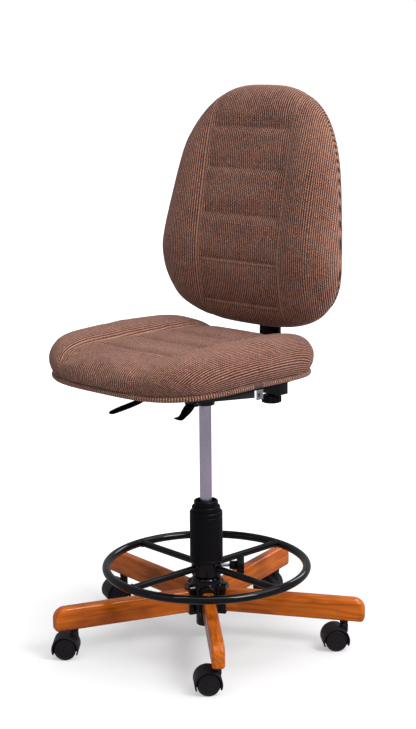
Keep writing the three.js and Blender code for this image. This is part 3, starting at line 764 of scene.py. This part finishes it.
cushion = back_layer("back_upholstery", chaikin([
    (0, -23), (0.6, -23), (0.93, -23), (0.976, -19), (0.997, -8), (1.003, 8), (0.988, 24),
    (0.935, 37), (0.84, 42.5), (0.6, 43), (0.3, 41.5), (0, 41.5),
]), 160, UPHOLSTERY)
voxel_remeshed(cushion, 6.0)
co = co_of(cushion)
ahead = back_spine(co[:, 2]) - co[:, 1]
seam_gap = np.abs(co[:, 0]) - BACK_SEAM
held = np.where(ahead < -14, 1.0, 0.0)
held = np.maximum(held, np.where((np.abs(seam_gap) < 5) & (ahead > 20), 0.5, 0))
for start in BACK_STITCHED + BACK_CHANNELS:
    near = np.abs(co[:, 2] - start) < 5
    held = np.maximum(held, np.where(near & (seam_gap < 0) & (ahead > 20), 0.7, 0))
swollen(cushion, held, 4.0, 6.0)
subdivided(cushion)
co, normal = co_of(cushion), normals_of(cushion)
seam_gap = np.abs(co[:, 0]) - BACK_SEAM
facing = ease((-normal[:, 1] - 0.1) / 0.3)
# A lighter line along each upright seam on the front face; the cross seams and channels below add painted
# light and shade to the same value.
seam_and_painted_shading = gauss(seam_gap - 1, 1.7) * facing
dip = 1.5 * gauss(seam_gap, 3.4) * facing + 1.8 * gauss(seam_gap + 10, 13) * facing
bolster = ease((np.abs(co[:, 0]) - 118) / 40) * ease((232 - np.abs(co[:, 0])) / 40)
dip -= 5.0 * bolster * facing * ease((1230 - co[:, 2]) / 120) * ease((co[:, 2] - 735) / 60)
inner = ease(-seam_gap / 12) * facing
for start in BACK_STITCHED:
    gap = co[:, 2] - start
    dip += inner * (2.8 * gauss(gap, 3.0) + 2.6 * gauss(gap, 13))
    # Painted light and shade at each stitched seam: a light line just below it and a dark line below that.
    seam_and_painted_shading += inner * (0.7 * gauss(gap + 2.5, 2.0) - 0.6 * gauss(gap + 8, 3.0))
for start in BACK_CHANNELS:
    gap = co[:, 2] - start
    dip += inner * (2.2 * gauss(gap, 4.0) + 3.4 * gauss(gap - 8, 16) - 1.6 * gauss(gap + 16, 14))
    # Painted shade along each channel.
    seam_and_painted_shading -= inner * 0.45 * gauss(gap, 5.0)
co -= normal * dip[:, None]
set_co(cushion, co)
ahead = back_spine(co[:, 2]) - co[:, 1]
depth = np.maximum(0, 44 - ahead)
outer = ease((np.abs(co[:, 0]) - 90) / 110)
store(cushion, "weave_and_shading", np.stack([
    np.sign(co[:, 0]) * (np.abs(co[:, 0]) + 0.75 * outer * depth) * MM,
    (co[:, 2] + depth * (1 - outer)) * MM, seam_and_painted_shading * 0.8,
], 1))
smooth(cushion, 180)
finished(cushion, "back", "upholstery", "back_cushion")

for side, word in ((1, "left"), (-1, "right")):
    rows = [(side * (BACK_SEAM + 4.5), -100, z) for z in np.arange(738, 1246, 6.0)]
    stitches(f"back_stitching_{word}", surface_path(cushion, rows, (0, 1, 0)), THREAD, "back")
for number, z in enumerate(BACK_STITCHED):
    rows = [(x, -100, z - 4.0) for x in np.arange(-114, 115, 6.0)]
    stitches(f"back_stitching_cross_{number + 1}", surface_path(cushion, rows, (0, 1, 0)), THREAD, "back")

shell = back_layer("back_outer_cover", chaikin([
    (0, -34.3), (0.6, -34.3), (0.905, -34.3), (0.905, -24), (0.955, -23.5), (0.968, -28), (0.95, -37),
    (0.88, -43), (0.6, -45), (0.3, -45), (0, -45),
]), 160, UPHOLSTERY)
co = co_of(shell)
behind = co[:, 1] - back_spine(co[:, 2])
edge = np.maximum(0, 44 - behind)
store(shell, "weave_and_shading", np.stack([(np.abs(co[:, 0]) + edge) * MM, co[:, 2] * MM, np.zeros(len(co))], 1))
finished(shell, "back", "upholstery", "back_cover")

angles = np.linspace(0, 2 * math.pi, 240, endpoint=False)
ox, oy = back_outline(angles)
heights = BACK_MIDDLE + oy * 0.948
welt_path = np.stack([ox * 0.948, back_spine(heights) + 23.6, heights], 1)
welt = swept("back_welt", welt_path, 1.7, UPHOLSTERY, 12, closed=True)
along = np.repeat(run_along(welt_path), 12)
# The welt is darkened all along by the painted crease shade.
store(welt, "weave_and_shading", np.stack([np.full(len(along), 1.3) * MM, along * MM, np.full(len(along), -0.1)], 1))
finished(welt, "back", "upholstery")


# ---- column ---------------------------------------------------------------------------
cylinder = lathe("gas_cylinder_tube", rounded([
    (11, 262), (13.4, 262), (14, 264), (14, 548), (13.4, 580), (13.2, 590), (0, 590),
], 1.2), STEEL, sides=96)
finished(cylinder, "seat", "satin_steel", "gas_cylinder")
tube = lathe("column_outer_tube", rounded([
    (23, 36), (23, 33), (25, 33), (25, 300), (23, 300), (23, 290),
], 0.6), PAINT, sides=96)
finished(tube, "base", "black_paint", "column_tube")


def cover_profile(radius, bottom, top, foot, groove):
    """A telescopic sleeve with a rounded shoulder and a lip that closes on the next one."""
    outer = [(radius - 2, bottom), (radius + foot, bottom), (radius + foot, bottom + 4), (radius, bottom + 5)]
    if groove:
        inset = radius - 0.9
        outer += [(radius, top - 12), (inset, top - 11.4), (inset, top - 10.2), (radius, top - 9.6)]
    outer += [(radius, top - 2.2), (radius - 1.4, top), (radius - 4.4, top), (radius - 4.4, top - 3)]
    return rounded(outer + [(radius - 2, top - 3)], 0.9, closed=True)


for name, radius, bottom, top, foot, groove, body in (
    ("cover_lower", 38, 187.3, 306, 0.8, True, "foot_ring"),
    ("cover_middle", 33, 190.3, 318, 2.4, False, "cover_middle"),
    ("cover_upper", 28, 190.3, 331, 2.4, False, "cover_upper"),
):
    section = cover_profile(radius, bottom, top, foot, groove)
    sleeve = lathe(name + "_sleeve", section, PLASTIC, sides=96, closed=True)
    finished(sleeve, body, "black_plastic", name)


# ---- foot ring ------------------------------------------------------------------------
RING_Z, RING_RADIUS, RING_TUBE, SPOKE_TUBE = 173.6, 231.7, 9.5, 8.0
SPOKE_AZIMUTH = 87 * DEG
COLLAR_RADIUS = 35.0
ring_path = [
    (RING_RADIUS * math.cos(t), RING_RADIUS * math.sin(t), RING_Z)
    for t in np.linspace(0, 2 * math.pi, 160, endpoint=False)
]
parts = [swept("hoop", ring_path, RING_TUBE, PAINT, 24, closed=True)]
random.seed(7)
for k in range(4):
    spin = about_z(SPOKE_AZIMUTH + k * math.pi / 2)
    line = [spin @ Vector((x, 0, RING_Z)) for x in np.linspace(30, RING_RADIUS - 3, 12)]
    parts.append(swept("spoke", line, SPOKE_TUBE, PAINT, 24))
    for reach, bead in ((COLLAR_RADIUS + 0.6, 2.0), (RING_RADIUS - RING_TUBE + 0.8, 1.9)):
        loop = []
        for t in np.linspace(0, 2 * math.pi, 40, endpoint=False):
            ripple = 0.5 * math.sin(9 * t + k) + random.uniform(-0.25, 0.25)
            around = SPOKE_TUBE + 0.4 + 0.35 * math.sin(14 * t)
            sag = 1.1 * math.sin(t) ** 2 if reach > 100 else -0.9 * math.cos(t) ** 2
            out = reach + ripple + sag
            loop.append(spin @ Vector((out, around * math.cos(t), RING_Z + around * math.sin(t))))
        parts.append(swept("weld", loop, bead, PAINT, 10, closed=True))
collar = rounded([
    (25.6, 153.5), (COLLAR_RADIUS, 153.5), (COLLAR_RADIUS, 187), (25.6, 187),
], 1.6, closed=True)
parts.append(lathe("collar", collar, PAINT, sides=96, closed=True))
finished(joined("foot_ring_weldment", parts), "foot_ring", "black_paint", "foot_ring")


def lobed(radius, lobes, depth, steps=12):
    """A round outline with scallops between its lobes."""
    out = []
    for i in range(lobes * steps):
        t = 2 * math.pi * i / (lobes * steps)
        reach = radius - depth * (0.5 * (1 - math.cos(lobes * t))) ** 1.6
        out.append((reach * math.cos(t), reach * math.sin(t)))
    return out


def lobed_knob(name, radius, lobes, depth, thick, matrix):
    """A moulded knob head with scalloped sides, a rounded rim and a dished outer face."""
    outline = np.array(lobed(radius, lobes, depth))
    rows = [
        (0.0, 0), (0.55, 0), (0.9, 0), (0.965, 0.6), (0.995, 2), (1.0, 4), (1.0, thick - 5),
        (0.99, thick - 2.4), (0.95, thick - 0.7), (0.87, thick), (0.62, thick), (0.56, thick - 1.5),
        (0.0, thick - 1.9),
    ]
    verts = np.concatenate([np.column_stack([outline * r, np.full(len(outline), h)]) for r, h in rows])
    obj = new_object(name, placed(verts, matrix), grid_faces(len(rows), len(outline)), PLASTIC)
    bm = bmesh.new()
    bm.from_mesh(obj.data)
    bmesh.ops.remove_doubles(bm, verts=bm.verts, dist=0.00002)
    bm.to_mesh(obj.data)
    bm.free()
    return smooth(obj, 45)


def threaded(name, radius, start, end, matrix, pitch=1.25):
    """A screw whose turned grooves stand for its thread."""
    profile = [(0, start), (radius - 0.5, start)]
    at = start + 0.3
    while at < end:
        profile += [(radius - 0.45, at), (radius, at + pitch * 0.4), (radius, at + pitch * 0.6)]
        at += pitch
    profile += [(radius - 0.5, end), (0, end)]
    return lathe(name, profile, ZINC, matrix, 28)


KNOB_AZIMUTH = 42 * DEG
outwards = about_z(KNOB_AZIMUTH, z=RING_Z) @ Matrix.Rotation(math.pi / 2, 4, "Y")
head = lobed_knob("knob_head", 24.5, 6, 3.4, 17, outwards @ Matrix.Translation((0, 0, 70)))
neck = lathe("knob_neck", rounded([
    (0, 53), (8.2, 53), (9.6, 55), (10.2, 62), (10.5, 70.5), (0, 70.5),
], 1.2), PLASTIC, outwards, 48)
finished(joined("clamp_knob_grip", [head, neck]), "clamp_knob", "black_plastic", "clamp_knob")
finished(threaded("clamp_knob_screw", 3.9, 25.4, 54, outwards), "clamp_knob", "zinc")


# ---- hub ------------------------------------------------------------------------------
LEG_COUNT = 5
FRONT_LEG = -42.2 * DEG
LEG_AZIMUTHS = [FRONT_LEG + k * 2 * math.pi / LEG_COUNT for k in range(LEG_COUNT)]


def arched(half, bottom, top, corner, steps=8):
    """A flat-bottomed outline with two rounded upper corners."""
    out = [(-half, bottom), (half, bottom)]
    for k in range(steps + 1):
        t = k / steps * math.pi / 2
        out.append((half - corner + corner * math.cos(t), top - corner + corner * math.sin(t)))
    for k in range(steps + 1):
        t = math.pi / 2 + k / steps * math.pi / 2
        out.append((-half + corner + corner * math.cos(t), top - corner + corner * math.sin(t)))
    return out


def along_leg(azimuth, start):
    """A matrix that puts an outline's X across the leg, its Y up and its depth outwards."""
    upright = Matrix(((0, 0, 1, start), (1, 0, 0, 0), (0, 1, 0, 0), (0, 0, 0, 1)))
    return Matrix.Rotation(azimuth, 4, "Z") @ upright


def boolean(obj, other, operation):
    """Joins or cuts with another piece, which is used up."""
    tool = obj.modifiers.new("tool", "BOOLEAN")
    tool.operation = operation
    tool.object = other
    tool.solver = "EXACT"
    bpy.context.view_layer.update()
    applied(obj)
    bpy.data.objects.remove(other)
    return obj


SOCKET_REACH = 49
hub = lathe("base_hub_casting", rounded([
    (0, 64), (34, 64), (36, 67), (36, 137), (34, 146), (28, 152), (0, 152),
], 3.0, 5), PAINT, sides=72)
for azimuth in LEG_AZIMUTHS:
    socket = extruded("socket", arched(17.8, 64, 134, 12), SOCKET_REACH - 26, PAINT, along_leg(azimuth, 26))
    boolean(hub, socket, "UNION")
for azimuth in LEG_AZIMUTHS:
    slot = extruded("slot", arched(14.3, 68.2, 121.8, 3), 34, PAINT, along_leg(azimuth, 35.7))
    boolean(hub, slot, "DIFFERENCE")
bore = lathe("bore", [(0, 60), (25.6, 60), (25.6, 160), (0, 160)], PAINT, sides=72)
boolean(hub, bore, "DIFFERENCE")
hub.data.materials.clear()
hub.data.materials.append(PAINT)
voxel_remeshed(hub, 1.5)
ease_edges = hub.modifiers.new("ease", "SMOOTH")
ease_edges.factor = 0.5
ease_edges.iterations = 4
applied(hub)
finished(smooth(hub, 180), "base", "black_paint", "base_hub")


# ---- legs -----------------------------------------------------------------------------
LEG_THICKNESS = 28


def leg_outline():
    """The leg's side view: a straight board with a generous round at the upper toe."""
    start, end, low, high = 36.0, 369.0, 68.5, 121.5
    out = [(start, low)]
    for k in range(7):
        t = -math.pi / 2 + k / 6 * math.pi / 2
        out.append((end - 8 + 8 * math.cos(t), low + 8 + 8 * math.sin(t)))
    for k in range(15):
        t = k / 14 * math.pi / 2
        out.append((end - 26 + 26 * math.cos(t), high - 26 + 26 * math.sin(t)))
    return out + [(start, high)]


for number, azimuth in enumerate(LEG_AZIMUTHS, 1):
    centred = Matrix.Translation((0, LEG_THICKNESS / 2, 0)) @ Matrix.Rotation(math.pi / 2, 4, "X")
    lying = Matrix.Rotation(azimuth, 4, "Z") @ centred
    leg = extruded(f"leg_{number}_board", leg_outline(), LEG_THICKNESS, WOOD, lying, bevel=6.0, segments=5)
    local = co_of(leg) @ np.array(Matrix.Rotation(azimuth, 3, "Z"))
    cut_from = [number * 0.7, 0.035 + 0.008 * math.sin(number * 2.4), -0.06 - 0.011 * number]
    store(leg, "grain", local * MM + np.array(cut_from))
    finished(leg, "base", "wood", f"leg_{number}")


# ---- casters --------------------------------------------------------------------------
CASTER_RADIUS, CASTER_TRAIL, WHEEL_RADIUS = 322.0, 20.0, 25.0
CASTER_AZIMUTHS = (-131, -131, -160, -115, -138)  # degrees, front leg first
TO_AXLE = Matrix.Translation((CASTER_TRAIL, 0, WHEEL_RADIUS))


def swept_section(name, section, start, end, steps, material, matrix):
    """A closed [radius, across] section swept about the axle between two angles."""
    verts = []
    for i in range(steps + 1):
        t = start + (end - start) * i / steps
        for r, y in section:
            verts.append((r * math.cos(t), y, r * math.sin(t)))
    faces = grid_faces(steps + 1, len(section)) + end_faces(steps + 1, len(section))
    return smooth(new_object(name, placed(verts, matrix), faces, material), 40)


def caster_hood(name, matrix):
    """The fixed part of a caster: a curved band over a middle web, and the neck for the stem."""
    band = rounded([(26.9, -26.5), (30.5, -26.5), (30.5, 26.5), (26.9, 26.5)], 1.3, closed=True)
    web = rounded([(4.4, -6.8), (28, -6.8), (28, 6.8), (4.4, 6.8)], 0.8, closed=True)
    neck = rounded([(4.8, 40), (9.5, 40), (9.5, 57), (7.8, 61.7), (4.8, 61.7)], 1.2, closed=True)
    at_axle = matrix @ TO_AXLE
    skirt = math.asin((14 - WHEEL_RADIUS) / 29.0)
    parts = [
        swept_section("band", band, skirt, math.pi - skirt, 48, NYLON, at_axle),
        swept_section("web", web, skirt, math.pi - skirt, 32, NYLON, at_axle),
        lathe("neck", neck, NYLON, matrix, 40, closed=True),
    ]
    return joined(name, parts)


def caster_wheel(name, side, matrix):
    """A moulded wheel: rounded tread, a rim step and a slightly domed face."""
    profile = rounded([
        (4.5, 7.8), (23.2, 7.8), (25, 9.6), (25, 22.8), (23.4, 25.0), (21.4, 25.4), (20.9, 24.3),
        (12, 25.2), (4.5, 25.6),
    ], 0.9, closed=True)
    axle = matrix @ TO_AXLE @ Matrix.Rotation(-side * math.pi / 2, 4, "X")
    wheel = lathe("rim", profile, NYLON, axle, 56, closed=True)
    domed = rounded([(0, 25.9), (3.4, 25.7), (4.4, 25.0), (4.4, 22), (0, 22)], 0.5)
    cap = lathe("cap", domed, NYLON, axle, 32)
    return joined(name, [wheel, cap])


for number, (azimuth, trail) in enumerate(zip(LEG_AZIMUTHS, CASTER_AZIMUTHS), 1):
    stem = about_z(trail * DEG, CASTER_RADIUS * math.cos(azimuth), CASTER_RADIUS * math.sin(azimuth))
    body = f"caster_{number}"
    finished(caster_hood(f"caster_{number}_hood", stem), body, "nylon", f"caster_hood_{number}")
    for side, word in ((1, "left"), (-1, "right")):
        wheel = caster_wheel(f"caster_{number}_wheel_{word}", side, stem)
        finished(wheel, f"wheel_{number}_{word}", "nylon", f"caster_wheel_{number}_{word}")
    collar = lathe(f"caster_{number}_stem", rounded([
        (0, 33), (4.4, 33), (4.4, 62), (9.6, 62), (9.6, 68.2), (5.3, 68.2), (5.3, 104), (0, 104),
    ], 0.6), PAINT, stem, 32)
    finished(collar, "base", "black_paint", f"caster_stem_{number}")


# ---- mechanism ------------------------------------------------------------------------
for node, name, slot, width, segments, body in (
    ("mechanism_housing", "tilt_housing", "black_paint", 1.0, 2, "seat"),
    ("back_arm", "back_arm_bracket", "black_paint", 2.0, 3, "back_arm"),
    ("back_upright", "back_upright_bar", "black_paint", 1.6, 3, "back"),
    ("lock_strap", "recline_lock_strap", "zinc", 0.6, 2, "seat"),
    ("strap_bolt", "recline_lock_bolt", "zinc", 0.5, 2, "seat"),
    ("seat_plate", "seat_mounting_plate", "black_paint", 0.8, 2, "seat"),
):
    finished(refined(node, name, SLOT_MATERIALS[slot], width, segments), body, slot, node)
for node, radius, half, y, z in (
    ("lever_pin", 4, 76, -98, 604), ("height_lever_pin", 3, 14, -38, 568), ("recline_pin", 5, 78, 72, 600),
):
    across = Matrix.Translation((0, y, z)) @ Matrix.Rotation(math.pi / 2, 4, "Y")
    rod = rounded([(0, -half), (radius, -half), (radius, half), (0, half)], 0.8)
    finished(lathe(node + "_rod", rod, ZINC, across, 32), "seat", "zinc", node)


def paddle(name, spine, x, material):
    """A moulded lever lofted along [y, z, half width, half thickness] stations."""
    fine = chaikin(spine, 2)
    verts, sides = [], 28
    for i, (y, z, wide, thick) in enumerate(fine):
        a, b = fine[max(i - 1, 0)], fine[min(i + 1, len(fine) - 1)]
        along = Vector((0, b[0] - a[0], b[1] - a[1])).normalized()
        up = Vector((1, 0, 0)).cross(along)
        for k in range(sides):
            t = 2 * math.pi * k / sides
            verts.append(Vector((x, y, z)) + Vector((1, 0, 0)) * (wide * float(power(math.cos(t), 0.7)))
                         + up * (thick * float(power(math.sin(t), 0.8))))
    faces = grid_faces(len(fine), sides) + end_faces(len(fine), sides)
    return smooth(new_object(name, verts, faces, material), 60)


recline = paddle("recline_paddle", [
    (-90, 603, 5.6, 6.0), (-100, 600, 6, 8.5), (-118, 593, 6, 7.0), (-148, 580, 6.5, 5.5),
    (-178, 576, 9.4, 5.0), (-205, 573, 10, 4.6), (-228, 570, 9.4, 3.8), (-237, 568.6, 7, 3.0),
    (-240, 568, 2.5, 1.2),
], -57, PLASTIC)
finished(recline, "recline_lever", "black_plastic", "recline_lever")
height = paddle("height_paddle", [
    (-31, 566, 6.5, 7.6), (-40, 566, 8, 9.0), (-52, 557, 11, 9.0), (-62, 549, 11.5, 7.4),
    (-71, 541.5, 9, 4.8), (-78, 537.5, 9.5, 3.8), (-85, 536.5, 12.5, 3.2), (-89, 538, 12.5, 2.4),
    (-91, 539.5, 6, 1.2),
], 0, PLASTIC)
finished(height, "height_lever", "black_plastic", "height_lever")
below = Matrix.Translation((0, 226, 544))
hanging = below @ Matrix.Rotation(math.pi, 4, "X") @ Matrix.Translation((0, 0, 5))
grip = lobed_knob("back_knob_head", 24, 12, 1.6, 17, hanging)
boss = lathe("back_knob_boss", rounded([(0, -8), (9, -8), (9, -0.4), (0, -0.4)], 0.8), PLASTIC, below, 40)
finished(joined("back_knob_grip", [grip, boss]), "back_knob", "black_plastic", "back_knob")


# ---- floor and light ------------------------------------------------------------------
def floor_material():
    """Pale floor that takes soft shadows from the lamps; its glow, seen only by the camera, is weaker near
    the column, a painted shadow round the chair, and fades to plain white further out.
    """
    g = Graph("pale_floor")
    away = g.node("VectorMath", {0: g.place()}, operation="LENGTH").outputs["Value"]
    seen = g.node("LightPath").outputs["Is Camera Ray"]
    # Painted shadow: the camera-only glow is dimmer close to the column.
    painted_shadow_glow = g.remap(away, 0.19, 0.92, 0.35, 0.90)
    g.set(Base_Color=(0.46, 0.46, 0.465), Roughness=0.8, Specular_IOR_Level=0.05)
    g.set(Emission_Color=(1.0, 1.0, 1.0), Emission_Strength=g.math("MULTIPLY", painted_shadow_glow, seen))
    return g.material


bpy.ops.mesh.primitive_plane_add(size=60, location=(AXIS.x, AXIS.y, -0.0004))
floor = bpy.context.object
floor.name = "floor"
floor.data.materials.append(floor_material())
floor.visible_glossy = False


def area_light(name, where, target, size, power_w):
    """A rectangular light; both places are metres from the column, turned with the camera."""
    data = bpy.data.lights.new(name, "AREA")
    data.shape = "RECTANGLE"
    data.size, data.size_y = size
    data.energy = power_w
    light = bpy.data.objects.new(name, data)
    scene.collection.objects.link(light)
    spot = turn @ Vector(where) + AXIS
    goal = turn @ Vector(target) + AXIS
    facing = (goal - spot).to_track_quat("-Z", "Y").to_matrix().to_4x4()
    light.matrix_world = Matrix.Translation(spot) @ facing
    return light


area_light("key", (2.3, -2.2, 3.1), (0, 0, 0.6), (1.7, 1.7), 112)
area_light("fill", (-2.6, -2.2, 1.9), (0, 0, 0.5), (1.6, 1.6), 3)
area_light("rim", (1.8, 2.4, 2.0), (0, 0, 0.8), (1.0, 1.0), 14)
area_light("strip", (-1.0, -1.2, 3.2), (0, 0, 0.4), (0.16, 2.2), 9)
sun_data = bpy.data.lights.new("overhead", "SUN")
sun_data.energy = 1.6
sun_data.angle = 70 * DEG
sun = bpy.data.objects.new("overhead", sun_data)
scene.collection.objects.link(sun)
sun.matrix_world = turn @ Matrix.Rotation(18 * DEG, 4, "Y") @ Matrix.Rotation(8 * DEG, 4, "X")

# The backdrop is plain white; soft grey light comes from all round, and less of it is mirrored.
world = bpy.data.worlds.new("studio")
scene.world = world
world.use_nodes = True
tree = world.node_tree
path_node = tree.nodes.new("ShaderNodeLightPath")


def backdrop(colour, strength):
    """An even glow from all round."""
    shade = tree.nodes.new("ShaderNodeBackground")
    shade.inputs["Color"].default_value = (*colour, 1)
    shade.inputs["Strength"].default_value = strength
    return shade.outputs[0]


def chosen(ray, yes, no):
    """One shader for rays of a kind, another for the rest."""
    pick = tree.nodes.new("ShaderNodeMixShader")
    tree.links.new(path_node.outputs[ray], pick.inputs[0])
    tree.links.new(no, pick.inputs[1])
    tree.links.new(yes, pick.inputs[2])
    return pick.outputs[0]


soft = backdrop((0.97, 0.97, 1.0), 0.41)
mirrored = backdrop((0.97, 0.95, 1.0), 0.31)
white = backdrop((1.0, 1.0, 1.0), 1.05)
seen = chosen("Is Camera Ray", white, chosen("Is Glossy Ray", mirrored, soft))
tree.links.new(seen, tree.nodes["World Output"].inputs["Surface"])

bpy.context.view_layer.update()
